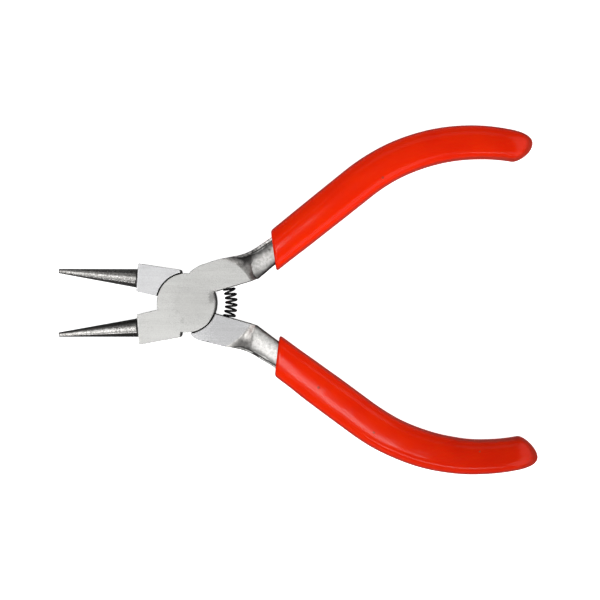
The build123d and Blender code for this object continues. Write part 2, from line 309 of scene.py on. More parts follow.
def surface_net(forging, lo, hi, h):
    """Quad mesh of the zero surface: one vertex per cut cell, pulled onto the surface."""
    xs, ys, zs = (np.arange(a, b + h, h) for a, b in zip(lo, hi))
    X, Y = np.meshgrid(xs, ys, indexing="ij")
    f2 = [f[:, :, None] for f in forging.fields2d(X, Y)]
    D = forging.solid(X[:, :, None], Y[:, :, None], zs[None, None, :], f2)
    inside = D < 0
    shape = np.array(D.shape)
    cells = shape - 1
    count = np.zeros(cells, np.int8)
    pos = np.zeros(tuple(cells) + (3,), np.float32)
    quads = []
    cell_id = np.arange(cells.prod()).reshape(cells)
    for axis in range(3):
        a = [slice(None)] * 3
        b = [slice(None)] * 3
        a[axis], b[axis] = slice(0, -1), slice(1, None)
        cut = inside[tuple(a)] != inside[tuple(b)]
        idx = np.argwhere(cut)
        d0, d1 = D[tuple(a)][cut], D[tuple(b)][cut]
        t = d0 / (d0 - d1)
        pt = idx.astype(np.float32)
        pt[:, axis] += t
        o1, o2 = [k for k in range(3) if k != axis]
        ring = []
        for s1, s2 in ((0, 0), (-1, 0), (-1, -1), (0, -1)):
            c = idx.copy()
            c[:, o1] += s1
            c[:, o2] += s2
            ok = (c[:, o1] >= 0) & (c[:, o2] >= 0) & (c[:, o1] < cells[o1]) & (c[:, o2] < cells[o2])
            cc = c[ok]
            np.add.at(count, tuple(cc.T), 1)
            np.add.at(pos, tuple(cc.T), pt[ok])
            ring.append(np.where(ok, cell_id[tuple(np.clip(c, 0, cells - 1).T)], -1))
        q = np.stack(ring, axis=1)
        keep = (q >= 0).all(axis=1)
        flip = (d0 > 0)[keep]
        if axis == 1:
            flip = ~flip
        q = q[keep]
        q[flip] = q[flip][:, ::-1]
        quads.append(q)
    used = np.argwhere(count > 0)
    ids = cell_id[tuple(used.T)]
    verts = pos[tuple(used.T)] / count[tuple(used.T)][:, None]
    verts = np.array([lo]) + verts.astype(float) * h
    order = np.full(cells.prod(), -1)
    order[ids] = np.arange(len(ids))
    quads = order[np.concatenate(quads)]

    def grad(v):
        e = 0.004
        base = forging.at(v)
        return base, np.stack([(forging.at(v + np.eye(3)[k] * e) - base) / e for k in range(3)], axis=1)
    start = verts.copy()
    for _ in range(3):
        d, g = grad(verts)
        step = g * (d / np.maximum((g * g).sum(1), 0.25))[:, None]
        length = np.linalg.norm(step, axis=1)
        verts = verts - step * np.minimum(1, 0.5 * h / np.maximum(length, 1e-9))[:, None]
    move = verts - start
    far = np.linalg.norm(move, axis=1)
    verts = start + move * np.minimum(1, 0.9 * h / np.maximum(far, 1e-9))[:, None]
    _, g = grad(verts)
    normals = g / np.maximum(np.linalg.norm(g, axis=1), 1e-9)[:, None]
    return verts, quads, normals


# ---------------------------------------------------------------- Blender objects
def turned(v):
    """The back half's turn about the X axis."""
    out = np.array(v, float)
    out[:, 1] *= -1
    out[:, 2] = T - out[:, 2]
    return out


def add_mesh(name, verts, faces, normals=None):
    me = bpy.data.meshes.new(name)
    me.from_pydata([tuple(v) for v in np.asarray(verts) * MM], [], [tuple(int(i) for i in f) for f in faces])
    me.polygons.foreach_set("use_smooth", [True] * len(me.polygons))
    me.update()
    if normals is not None:
        # field normals, except where a face turns sharply away from them at a crisp edge
        f = np.asarray(faces)
        q = np.asarray(verts)[f]
        fn = np.cross(q[:, 2] - q[:, 0], q[:, 3] - q[:, 1])
        fn /= np.maximum(np.linalg.norm(fn, axis=1), 1e-12)[:, None]
        ln = normals[f]
        crisp = (ln * fn[:, None, :]).sum(2) < cos(radians(17))
        ln = np.where(crisp[:, :, None], fn[:, None, :], ln)
        me.normals_split_custom_set([tuple(n) for n in ln.reshape(-1, 3)])
    ob = bpy.data.objects.new(name, me)
    bpy.context.scene.collection.objects.link(ob)
    return ob


def steel_half(name, p, turn, mats):
    f = Forging(p)
    h = 0.2
    v, q, n = surface_net(f, (-32.8, -10.9, -0.3), (84.3, 44.2, T + 0.35), h)
    used = np.unique(q)
    # face groups: 0 forged, 1 ground pads, 2 round jaw
    c = v[q].mean(axis=1)
    fn = n[q].mean(axis=1)
    bx, by = p["cone_base"]
    ux, uy = f.cone_dir
    a = (c[:, 0] - bx) * ux + (c[:, 1] - by) * uy
    past_t, past_b = f.past_pad(c[:, 0], c[:, 1])
    group = np.zeros(len(q), int)
    group[((c[:, 2] > T - 0.17) & (past_t < 0.05)) | ((c[:, 2] < 0.17) & (past_b < 0.05))] = 1
    # group 3: the forged side walls of the blocks and laps, which take the material painted dark as shade
    painted_shade_walls = (group == 0) & (c[:, 0] < 7.7)
    group[painted_shade_walls] = 3
    group[a > 0.62] = 2
    if turn:
        v, n = turned(v), n * np.array([1, -1, -1])
    ob = add_mesh(name, v, q, n)
    for m in mats:
        ob.data.materials.append(m)
    ob.data.polygons.foreach_set("material_index", group.astype(np.int32))
    return ob


def loft(name, rings, closed_start=True, closed_end=True, tips=(None, None)):
    """Quads between rings of equal length; ends closed by a tip point or a flat face."""
    k = len(rings[0])
    verts = [tuple(q) for r in rings for q in r]
    faces = []
    for j in range(len(rings) - 1):
        for i in range(k):
            i2 = (i + 1) % k
            faces.append((j * k + i, j * k + i2, (j + 1) * k + i2, (j + 1) * k + i))
    if tips[0] is not None:
        verts.append(tips[0])
        faces += [((i + 1) % k, i, len(verts) - 1) for i in range(k)]
    elif closed_start:
        faces.append(tuple(range(k))[::-1])
    last = (len(rings) - 1) * k
    if tips[1] is not None:
        verts.append(tips[1])
        faces += [(last + i, last + (i + 1) % k, len(verts) - 1) for i in range(k)]
    elif closed_end:
        faces.append(tuple(last + i for i in range(k)))
    me = bpy.data.meshes.new(name)
    me.from_pydata([tuple(c * MM for c in v) for v in verts], [], faces)
    me.polygons.foreach_set("use_smooth", [True] * len(me.polygons))
    me.update()
    ob = bpy.data.objects.new(name, me)
    bpy.context.scene.collection.objects.link(ob)
    return ob


def waves(s, a, rng, count=14):
    """Slow seeded unevenness of a dipped skin, about -1 to 1."""
    out = np.zeros(np.broadcast(s, a).shape)
    for _ in range(count):
        ks, ka = rng.uniform(0.12, 0.9), rng.integers(0, 4)
        out += rng.uniform(0.4, 1.0) * np.sin(ks * s + ka * a + rng.uniform(0, 2 * pi)) / (1 + 1.2 * ks)
    return out / 4.5


def vinyl_grip(name, p, turn, mat, seed):
    """Dipped sleeve: rolled mouth, uneven skin, rounded end, and the bore that hugs the tang."""
    K = 96
    ang = np.linspace(0, 2 * pi, K, endpoint=False)
    ca, sa = np.cos(ang), np.sin(ang)
    e = 2 / 2.55
    ux, uz = np.sign(ca) * np.abs(ca) ** e, np.sign(sa) * np.abs(sa) ** e
    nose = p["nose"]
    tip, cen = nose["tip"], nose["centre"]
    rng = np.random.default_rng(seed)
    waves_rng_state = seed

    def edges(s):
        wo, wi = curve_through(p["w_out"], s), curve_through(p["w_in"], s)
        hh = curve_through(p["heights"], s)

        def round_off(s, s0, power):
            t = np.clip((s - s0) / (tip - s0), 0, 1)
            return (1 - t ** power) ** (1 / power)
        out = cen + (wo - cen) * round_off(s, *nose["outer"])
        inn = -cen + (wi + cen) * round_off(s, *nose["inner"])
        return out, inn, hh * round_off(s, *nose["top"])

    def ring(S, shrink=0.0, inner=False):
        """One ring. S runs from the mouth, whose slant dies out over 12 mm."""
        if inner:
            out, inn, hh = np.full(1, 2.62), np.full(1, 2.62), np.full(1, 2.62)
            w_out, w_in, h_ = 2.62, 2.62, 2.62
            lim = 1.0
        else:
            o, i_, h_a = edges(np.array([S]))
            w_out, w_in, h_ = o[0], i_[0], h_a[0]
        c, w = (w_out - w_in) / 2, (w_out + w_in) / 2
        n = c + (w - shrink) * ux
        z = (h_ - shrink) * uz
        base = p["mouth"][0] + p["mouth"][1] * n
        start = base
        s = np.where(S < 12, start + (12 - start) * (S / 12.0), S)
        if not inner:
            bump = waves(s, ang, np.random.default_rng(waves_rng_state)) * 0.055
            fade = min(1.0, max(0.0, (tip - S) / 4))
            n = n + bump * ca * fade
            z = z + bump * sa * fade
        x, y = along(p, s, n)
        return np.stack([x, y, np.clip(ZM + z, 0.012, T - 0.012)], axis=1)

    rings = []
    # inside of the sleeve, from deep to the mouth
    for S in (54, 40, 26, 12, 6, 3, 1.5, 0.8):
        rings.append(ring(S, inner=True))
    lip = 0.62
    inner_mouth = ring(0.0, inner=True)
    outer_edge = ring(0.0, shrink=lip)
    for t in (0.0, 0.5, 0.85, 1.0):
        rings.append(inner_mouth * (1 - t) + outer_edge * t)
    for t in np.linspace(0, pi / 2, 9)[1:]:
        rings.append(ring(lip * (1 - cos(t)), shrink=lip * (1 - sin(t))))
    for S in np.concatenate([np.arange(1.1, 12, 0.5), np.arange(12, 60.5, 0.6)]):
        rings.append(ring(float(S)))
    s0 = 60.8
    for t in np.linspace(0, 1, 30)[:-1]:
        rings.append(ring(float(s0 + (tip - s0) * sin(t * pi / 2))))
    tx, ty = along(p, tip, cen)
    tip_pt = np.array([[float(tx), float(ty), ZM]])
    if turn:
        rings = [turned(r)[::1] for r in rings]
        tip_pt = turned(tip_pt)
    ob = loft(name, rings, closed_start=True, tips=(None, tuple(tip_pt[0])))
    ob.data.materials.append(mat)
    import bmesh
    bm = bmesh.new()
    bm.from_mesh(ob.data)
    bmesh.ops.recalc_face_normals(bm, faces=bm.faces)
    bm.to_mesh(ob.data)
    bm.free()
    return ob


def coil_spring(name, mat):
    """Closed-end coil on an arc about the pivot."""
    deep = degrees((POCKET_DEPTH - 0.18 - SPRING_WIRE_R) / SPRING_R_AXIS)
    phi0, phi1 = FRONT["pocket_angle"] + deep, -(BACK["pocket_angle"] + deep)
    closed = degrees(2.06 * SPRING_WIRE_R / SPRING_R_AXIS)
    active = 8.75
    pitch = (phi0 - phi1 - 2 * closed) / active
    per = 40
    t = np.arange(int((active + 2) * per) + 1) / per
    run = np.minimum(t, 1) * closed + np.clip(t - 1, 0, active) * pitch + np.maximum(t - 1 - active, 0) * closed
    f, w = np.radians(phi0 - run), 2 * pi * t + 0.6
    r = SPRING_R_AXIS + SPRING_R_COIL * np.cos(w)
    pts = np.stack([r * np.cos(f), r * np.sin(f), ZM + SPRING_R_COIL * np.sin(w)], axis=1)
    tan_ = np.gradient(pts, axis=0)
    tan_ /= np.linalg.norm(tan_, axis=1)[:, None]
    centre = np.stack([SPRING_R_AXIS * np.cos(f), SPRING_R_AXIS * np.sin(f), np.full_like(f, ZM)], axis=1)
    nrm = pts - centre
    nrm -= tan_ * (nrm * tan_).sum(1)[:, None]
    nrm /= np.linalg.norm(nrm, axis=1)[:, None]
    bin_ = np.cross(tan_, nrm)
    K = 14
    a = np.linspace(0, 2 * pi, K, endpoint=False)
    rings = [pts[i] + SPRING_WIRE_R * (np.cos(a)[:, None] * nrm[i] + np.sin(a)[:, None] * bin_[i]) for i in range(len(pts))]
    ob = loft(name, rings)
    ob.data.materials.append(mat)
    return ob


def flush_rivet(name, mat):
    """Countersunk rivet swaged into both sinks and ground flush."""
    K = 128
    a = np.linspace(0, 2 * pi, K, endpoint=False)
    e = 0.03
    prof = [(RIVET_HEAD_R - e * 0.3, 0.0), (RIVET_HEAD_R, e * 0.4), (RIVET_HEAD_R - 0.02, 0.07), (RIVET_R + 0.02, RIVET_HEAD_H), (RIVET_R, RIVET_HEAD_H + 0.1)]
    prof = [(0.6, 0.0), (1.6, 0.0)] + prof
    prof += [(r, T - z) for r, z in reversed(prof)]
    rings = [np.stack([r * np.cos(a), r * np.sin(a), np.full(K, z)], axis=1) for r, z in prof]
    ob = loft(name, rings, tips=((0, 0, 0), (0, 0, T)))
    ob.data.polygons.foreach_set("use_smooth", [abs(q.normal.z) < 0.9 for q in ob.data.polygons])
    ob.data.materials.append(mat)
    return ob


# ---------------------------------------------------------------- materials
class Mat:
    """Small helper for procedural materials in object millimetres."""

    def __init__(self, name):
        self.m = bpy.data.materials.new(name)
        self.m.use_nodes = True
        self.t = self.m.node_tree
        self.b = self.t.nodes["Principled BSDF"]
        tc = self.t.nodes.new("ShaderNodeTexCoord")
        self.mm = self.mapping(tc.outputs["Object"], (1000, 1000, 1000))

    def new(self, kind, **props):
        n = self.t.nodes.new(kind)
        for k, v in props.items():
            setattr(n, k, v)
        return n

    def link(self, a, b):
        self.t.links.new(a, b)

    def mapping(self, vec, scale, rot=(0, 0, 0), loc=(0, 0, 0)):
        n = self.new("ShaderNodeMapping")
        self.link(vec, n.inputs["Vector"])
        n.inputs["Scale"].default_value = scale
        n.inputs["Rotation"].default_value = rot
        n.inputs["Location"].default_value = loc
        return n.outputs["Vector"]

    def noise(self, vec, scale, detail=4, rough=0.55, distort=0.0):
        n = self.new("ShaderNodeTexNoise")
        self.link(vec, n.inputs["Vector"])
        n.inputs["Scale"].default_value = scale
        n.inputs["Detail"].default_value = detail
        n.inputs["Roughness"].default_value = rough
        n.inputs["Distortion"].default_value = distort
        return n.outputs["Fac"]

    def voronoi(self, vec, scale, feature="F1"):
        n = self.new("ShaderNodeTexVoronoi", feature=feature)
        self.link(vec, n.inputs["Vector"])
        n.inputs["Scale"].default_value = scale
        return n.outputs["Distance"]

    def math(self, op, a, b=None, c=None, clamp=False):
        n = self.new("ShaderNodeMath", operation=op, use_clamp=clamp)
        for i, v in enumerate((a, b, c)):
            if v is None:
                continue
            if isinstance(v, (int, float)):
                n.inputs[i].default_value = v
            else:
                self.link(v, n.inputs[i])
        return n.outputs[0]

    def remap(self, v, a, b, c=0.0, d=1.0, kind="LINEAR"):
        n = self.new("ShaderNodeMapRange", interpolation_type=kind)
        self.link(v, n.inputs[0])
        for i, k in enumerate((a, b, c, d)):
            n.inputs[i + 1].default_value = k
        return n.outputs[0]

    def ramp(self, v, stops, kind="LINEAR"):
        n = self.new("ShaderNodeValToRGB")
        n.color_ramp.interpolation = kind
        el = n.color_ramp.elements
        while len(el) < len(stops):
            el.new(0.5)
        for e, (pos, col) in zip(el, stops):
            e.position = pos
            e.color = (col + (1,)) if len(col) == 3 else col
        self.link(v, n.inputs[0])
        return n.outputs["Color"]

    def mix(self, fac, a, b, blend="MIX"):
        n = self.new("ShaderNodeMix", data_type="RGBA", blend_type=blend)
        if isinstance(fac, (int, float)):
            n.inputs[0].default_value = fac
        else:
            self.link(fac, n.inputs[0])
        for i, v in ((6, a), (7, b)):
            if isinstance(v, tuple):
                n.inputs[i].default_value = v + (1,)
            else:
                self.link(v, n.inputs[i])
        return n.outputs[2]

    def split(self, vec):
        n = self.new("ShaderNodeSeparateXYZ")
        self.link(vec, n.inputs[0])
        return n.outputs

    def bump(self, height, strength, dist, after=None):
        n = self.new("ShaderNodeBump")
        n.inputs["Strength"].default_value = strength
        n.inputs["Distance"].default_value = dist * MM
        self.link(height, n.inputs["Height"])
        if after is not None:
            self.link(after, n.inputs["Normal"])
        return n.outputs["Normal"]

    def done(self, color=None, rough=None, normal=None, **fixed):
        if color is not None:
            self.link(color, self.b.inputs["Base Color"])
        if rough is not None:
            self.link(rough, self.b.inputs["Roughness"])
        if normal is not None:
            self.link(normal, self.b.inputs["Normal"])
        for k, v in fixed.items():
            self.b.inputs[k.replace("_", " ")].default_value = v
        return self.m


def ground_steel(name, tint, angle, seed, painted_highlight_bands=(), dark_patches=()):
    """Ground flat: fine straight brushing, a few crossing scratches, faint darker patches.

    painted_highlight_bands: (nx, ny, c, width, gain) painted highlight strips along a line. stains: (x, y, rx, ry,
    depth)."""
    m = Mat(name)
    off = (seed * 3.1, seed * 1.7, 0)
    brush = m.mapping(m.mm, (0.16, 7.0, 1.0), rot=(0, 0, angle), loc=off)
    fine = m.noise(brush, 1.0, 5, 0.62)
    wide = m.noise(m.mapping(m.mm, (0.07, 1.5, 1.0), rot=(0, 0, angle), loc=off), 1.0, 3, 0.5)
    cloud = m.noise(m.mapping(m.mm, (1, 1, 1), loc=off), 0.33, 4, 0.6)
    grain = m.noise(m.mapping(m.mm, (1, 1, 1), loc=off), 4.4, 2, 0.6)
    scr = m.noise(m.mapping(m.mm, (0.10, 5.0, 1.0), rot=(0, 0, angle + 0.9), loc=off), 1.0, 2, 0.5)
    scratch = m.remap(scr, 0.70, 0.76, 0, 1)
    v = m.math("MULTIPLY_ADD", m.remap(fine, 0.3, 0.7, -1, 1), 0.085, 1.0)
    v = m.math("MULTIPLY_ADD", m.remap(wide, 0.3, 0.7, -1, 1), 0.05, v)
    v = m.math("MULTIPLY_ADD", m.remap(cloud, 0.3, 0.7, -1, 1), 0.085, v)
    v = m.math("MULTIPLY_ADD", m.remap(grain, 0.3, 0.7, -1, 1), 0.125, v)
    v = m.math("MULTIPLY_ADD", scratch, -0.09, v)
    at = m.split(m.mm)
    # painted highlight: each band paints a brighter strip along its line, here the jaw block's front edge
    for nx, ny, c, width, gain in painted_highlight_bands:
        d = m.math("MULTIPLY_ADD", at[0], nx, m.math("MULTIPLY_ADD", at[1], ny, c))
        v = m.math("MULTIPLY_ADD", m.remap(m.math("ABSOLUTE", d), 0.0, width, 1, 0, "SMOOTHSTEP"), gain, v)
    # each patch darkens the pad within an uneven ellipse, one of them beside the disc's edge on the front pad
    for sx, sy, rx, ry, depth in dark_patches:
        d = m.math("POWER", m.math("ADD", m.math("POWER", m.math("ABSOLUTE", m.math("MULTIPLY_ADD", at[0], 1 / rx, -sx / rx)), 2.0),
                                   m.math("POWER", m.math("ABSOLUTE", m.math("MULTIPLY_ADD", at[1], 1 / ry, -sy / ry)), 2.0)), 0.5)
        d = m.math("ADD", d, m.remap(grain, 0.3, 0.7, -0.35, 0.35))
        v = m.math("MULTIPLY", v, m.remap(d, 0.35, 1.25, 1 - depth, 1, "SMOOTHSTEP"))
    col = m.mix(1.0, tint, v, "MULTIPLY")
    rough = m.remap(m.math("ADD", fine, m.math("MULTIPLY", cloud, 0.6)), 0.5, 1.1, 0.40, 0.50)
    nrm = m.bump(fine, 0.35, 0.012)
    nrm = m.bump(scratch, 0.25, -0.01, nrm)
    return m.done(col, rough, nrm, Metallic=1.0)


def painted_shade_side_steel(name):
    """The blocks' and laps' side walls: hardened and only deburred, their colour painted near black as shade."""
    m = Mat(name)
    n1 = m.noise(m.mapping(m.mm, (1, 1, 0.35)), 1.6, 5, 0.65)
    n2 = m.noise(m.mm, 6.0, 3, 0.6)
    lines = m.noise(m.mapping(m.mm, (0.25, 0.25, 6.0)), 1.0, 3, 0.6)
    v = m.math("ADD", m.math("MULTIPLY", n1, 0.6), m.math("MULTIPLY", lines, 0.4))
    # painted shade: the walls are coloured near black
    col = m.ramp(v, [(0.3, (0.022, 0.021, 0.020)), (0.52, (0.05, 0.048, 0.047)), (0.75, (0.12, 0.117, 0.114))])
    return m.done(col, m.remap(n2, 0.3, 0.7, 0.42, 0.6), m.bump(v, 0.4, 0.02), Metallic=0.8, Specular_IOR_Level=0.3)


def forged_steel(name, seed, turn, middle, painted_light_across, scoop_painted_shade, crown, painted_shade_lengthwise):
    """Neck: scaled and tumbled forging, painted bright along its crown as a highlight, its rolled edges painted dark
    as shade, and a trimmed flash land at mid-height painted bright, partly bare metal and partly a painted highlight.

    middle: cubic of the neck's middle line. lateral: painted shade and highlight across the neck, inner to outer side.
    scoop_painted_shade: painted shade of the scoop's inner and outer sides. crown: brightest level of the crown's
    painted highlight.
    lengthwise: painted shade at the scoop and at the sleeve."""
    m = Mat(name)
    off = (seed * 5.3, seed * 2.9, seed)
    p = m.mapping(m.mm, (1, 1, 1), loc=off)
    at = m.split(m.mm)
    up = m.math("ABSOLUTE", m.math("SUBTRACT", at[2], ZM))
    slow = m.remap(m.noise(p, 0.9, 3, 0.5), 0.3, 0.7, -1, 1)
    lev = m.math("DIVIDE", m.math("ADD", up, m.math("MULTIPLY", slow, 0.10)), 4.4)
    # across the neck, positive to its outer side
    k3, k2, k1, k0 = middle
    line = m.math("MULTIPLY_ADD", at[0], m.math("MULTIPLY_ADD", at[0], m.math("MULTIPLY_ADD", at[0], k3, k2), k1), k0)
    lat = m.math("SUBTRACT", m.math("MULTIPLY", at[1], -1.0 if turn else 1.0), line)
    lat = m.math("MULTIPLY", lat, m.remap(at[0], 10.0, 21.0, 0.965, 0.79))
    lat = m.math("MULTIPLY_ADD", slow, 0.12, lat)
    # painted shade and highlight across the neck: darker towards its edges, brightest along the middle and along the
    # outer flash land
    tone = m.ramp(m.remap(lat, -3.5, 3.5), [((q + 3.5) / 7, (w, w, w)) for q, w in painted_light_across])
    c = lambda w: (w, w * 0.985, w * 0.955)
    # painted light by height: the flash land at mid-height bright, partly bare metal and partly a painted highlight;
    # the rolled edges above it painted dark as shade; the crown painted bright as a highlight
    base = m.ramp(lev, [(0.00, c(0.52)), (0.125, c(0.50)), (0.155, c(0.04)), (0.40, c(0.03)), (0.50, c(0.08)),
                        (0.58, c(0.66 * crown)), (0.645, c(crown)), (1.0, c(crown))])
    base = m.mix(1.0, base, tone, "MULTIPLY")
    # painted shade: darker towards the scoop, lighter towards the sleeve
    base = m.mix(1.0, base, m.remap(at[0], 14.0, 19.3, painted_shade_lengthwise[0], painted_shade_lengthwise[1]), "MULTIPLY")
    # painted shade in the scoop's hollow, set darker on its outer side and eased to a middle grey at its rim
    inner, outer = scoop_painted_shade
    side = m.remap(lat, -0.9, 1.3, inner, outer, "SMOOTHSTEP")
    grain = m.noise(p, 4.2, 4, 0.6)
    roll = m.remap(m.math("MULTIPLY_ADD", m.math("SUBTRACT", grain, 0.5), 0.05, lev), 0.985, 0.90, 0, 1, "SMOOTHSTEP")
    side = m.math("ADD", m.math("MULTIPLY", side, roll), m.math("MULTIPLY", m.math("SUBTRACT", 1.0, roll), 0.33))
    scoop = m.mix(1.0, (1.0, 0.975, 0.94), side, "MULTIPLY")
    step = m.remap(m.math("MULTIPLY_ADD", slow, 0.02, lev), 0.690, 0.735, 0, 1, "SMOOTHSTEP")
    base = m.mix(step, base, scoop)
    mott = m.noise(p, 1.3, 6, 0.6)
    pits = m.remap(m.voronoi(p, 1.6), 0.05, 0.16, 0.35, 1.0)
    v = m.remap(m.math("ADD", m.math("MULTIPLY", mott, 0.65), m.math("MULTIPLY", grain, 0.35)), 0.34, 0.66, 0.62, 1.32)
    v = m.math("MULTIPLY", v, m.remap(pits, 0.35, 1.0, 0.8, 1.0))
    col = m.mix(1.0, base, v, "MULTIPLY")
    rough = m.remap(grain, 0.3, 0.7, 0.36, 0.55)
    h = m.math("ADD", m.math("MULTIPLY", mott, 0.7), m.math("MULTIPLY", grain, 0.3))
    nrm = m.bump(h, 0.35, 0.035)
    nrm = m.bump(pits, 0.4, 0.02, nrm)
    return m.done(col, rough, nrm, Metallic=1.0)


def jaw_steel(name, cone_base, cone_tip, turn, seed, highlight_shift, flank_painted_shade):
    """Round jaw: dark hardened steel, turned and polished, with fine rings and bright specks, and a painted highlight
    along its crown.
    """
    m = Mat(name)
    bx, by = cone_base
    tx, ty = cone_tip
    if turn:
        by, ty = -by, -ty
    ang = atan2(ty - by, tx - bx)
    off = (seed * 2.3, seed * 4.1, seed * 0.7)
    axial = m.mapping(m.mm, (1, 1, 1), rot=(0, 0, -ang))
    rings = m.noise(m.mapping(axial, (6.5, 0.25, 0.25), loc=off), 1.0, 4, 0.7)
    long_ = m.noise(m.mapping(axial, (0.35, 3.0, 3.0), loc=off), 1.0, 4, 0.65)
    spots = m.noise(m.mapping(m.mm, (1, 1, 1), loc=off), 2.6, 5, 0.7)
    fine = m.noise(m.mapping(m.mm, (1, 1, 1), loc=off), 8.0, 3, 0.6)
    v = m.math("ADD", m.math("MULTIPLY", spots, 0.5), m.math("ADD", m.math("MULTIPLY", long_, 0.3), m.math("MULTIPLY", rings, 0.2)))
    col = m.ramp(v, [(0.36, (0.12, 0.113, 0.106)), (0.44, (0.34, 0.328, 0.312)), (0.52, (0.56, 0.548, 0.53)), (0.60, (0.82, 0.81, 0.79))])
    # painted highlight: a bright band runs along the jaw's crown, set off to one side, its flanks painted darker as
    # shade and the band fading towards the base
    length = hypot(tx - bx, ty - by)
    slope = (CONE_R_BASE - CONE_R_TIP) / length
    x0, y0 = bx * cos(ang) + by * sin(ang), -bx * sin(ang) + by * cos(ang)
    ax = m.split(axial)
    local_r = m.math("MULTIPLY_ADD", m.math("SUBTRACT", ax[0], x0), -slope, CONE_R_BASE)
    lam = m.math("DIVIDE", m.math("ABSOLUTE", m.math("MULTIPLY_ADD", local_r, highlight_shift, m.math("SUBTRACT", ax[1], y0))), local_r)
    painted_highlight_band = m.remap(m.math("MULTIPLY_ADD", m.math("SUBTRACT", spots, 0.5), 0.55, lam), 0.20, 0.68, 1.0, flank_painted_shade, "SMOOTHSTEP")
    painted_highlight_band = m.math("MULTIPLY", painted_highlight_band, m.remap(local_r, CONE_R_TIP, CONE_R_BASE, 1.15, 0.62))
    col = m.mix(1.0, col, painted_highlight_band, "MULTIPLY")
    rough = m.remap(m.math("ADD", m.math("MULTIPLY", fine, 0.5), m.math("MULTIPLY", spots, 0.5)), 0.35, 0.65, 0.16, 0.30)
    nrm = m.bump(m.math("ADD", m.math("MULTIPLY", rings, 0.4), m.math("MULTIPLY", spots, 0.6)), 0.25, 0.02)
    return m.done(col, rough, nrm, Metallic=1.0)


def red_vinyl(name, seed, specks=(), depth=(1.0, 1.0)):
    """Dipped vinyl: glossy, slightly see-through, darker towards the ends (partly a painted shade set per sleeve),
    painted darker along its sides as shade, with a few specks.
    """
    m = Mat(name)
    off = (seed * 7.7, seed * 3.3, 0)
    p = m.mapping(m.mm, (1, 1, 1), loc=off)
    at = m.split(m.mm)
    slow = m.noise(p, 0.10, 2, 0.5)
    mid = m.noise(p, 0.55, 4, 0.55)
    fine = m.noise(p, 4.0, 4, 0.6)
    far = m.remap(at[0], 34, 84, 0, 1, "SMOOTHSTEP")
    col = m.mix(far, (0.86, 0.019, 0.0), (0.68, 0.013, 0.0))
    col = m.mix(m.remap(mid, 0.35, 0.75, 0, 0.4), col, (0.74, 0.010, 0.0))
    col = m.mix(m.remap(slow, 0.35, 0.65, 0, 0.35), col, (0.90, 0.028, 0.0))
    # painted shade: each sleeve darkens towards its far end by its own amount
    col = m.mix(1.0, col, m.remap(at[0], 24, 80, *depth), "MULTIPLY")
    # painted shade: the sleeve's sides, away from its top and bottom, are painted darker
    level = m.math("MULTIPLY_ADD", m.remap(mid, 0.3, 0.7, -1, 1), 0.12, m.math("ABSOLUTE", m.math("SUBTRACT", at[2], ZM)))
    painted_side_shade = m.remap(level, 1.9, 3.05, 0.62, 0.0, "SMOOTHSTEP")
    col = m.mix(painted_side_shade, col, (0.16, 0.012, 0.004))
    spots = None
    for sx, sy, r in specks:
        d = m.math("POWER", m.math("ADD", m.math("POWER", m.math("ABSOLUTE", m.math("SUBTRACT", at[0], sx)), 2.0),
                                   m.math("POWER", m.math("ABSOLUTE", m.math("SUBTRACT", at[1], sy)), 2.0)), 0.5)
        one = m.remap(d, r * 0.45, r, 1, 0, "SMOOTHSTEP")
        spots = one if spots is None else m.math("MAXIMUM", spots, one)
    col = m.mix(m.math("MULTIPLY", spots, 0.7), col, (0.22, 0.045, 0.02))
    rough = m.remap(m.math("ADD", m.math("MULTIPLY", mid, 0.6), m.math("MULTIPLY", fine, 0.4)), 0.35, 0.65, 0.11, 0.18)
    rough = m.math("MULTIPLY_ADD", painted_side_shade, 0.35, rough)
    nrm = m.bump(mid, 0.30, 0.05)
    nrm = m.bump(fine, 0.14, 0.01, nrm)
    nrm = m.bump(spots, 0.6, 0.06, nrm)
    m.b.inputs["Subsurface Radius"].default_value = (1.0, 0.08, 0.02)
    return m.done(col, rough, nrm, Subsurface_Weight=0.22, Subsurface_Scale=0.0011, Specular_IOR_Level=0.12)


def black_wire(name):
    """Blackened spring wire, a little brighter in scattered patches."""
    m = Mat(name)
    n = m.noise(m.mm, 5.0, 4, 0.6)
    drawn = m.noise(m.mapping(m.mm, (3, 3, 3)), 3.0, 2, 0.6)
    col = m.ramp(n, [(0.35, (0.006, 0.006, 0.007)), (0.6, (0.014, 0.014, 0.015)), (0.8, (0.045, 0.044, 0.043))])
    return m.done(col, m.remap(drawn, 0.3, 0.7, 0.30, 0.48), m.bump(n, 0.3, 0.01), Metallic=0.6)


# ---------------------------------------------------------------- build
# side walls painted dark as shade
side = painted_shade_side_steel("painted_shade_side_steel")


def end_line(p, turn):
    """The jaw block's front end as (nx, ny, c), zero on the line."""
    ax_, ay = -p["block_in"] * cos(radians(OPEN_HALF)), -p["block_in"] * sin(radians(OPEN_HALF))
    bx, by = p["block_out"]
    n = hypot(bx - ax_, by - ay)
    nx, ny = (by - ay) / n, -(bx - ax_) / n
    return nx, ny * (-1 if turn else 1), -(ax_ * nx + ay * ny)


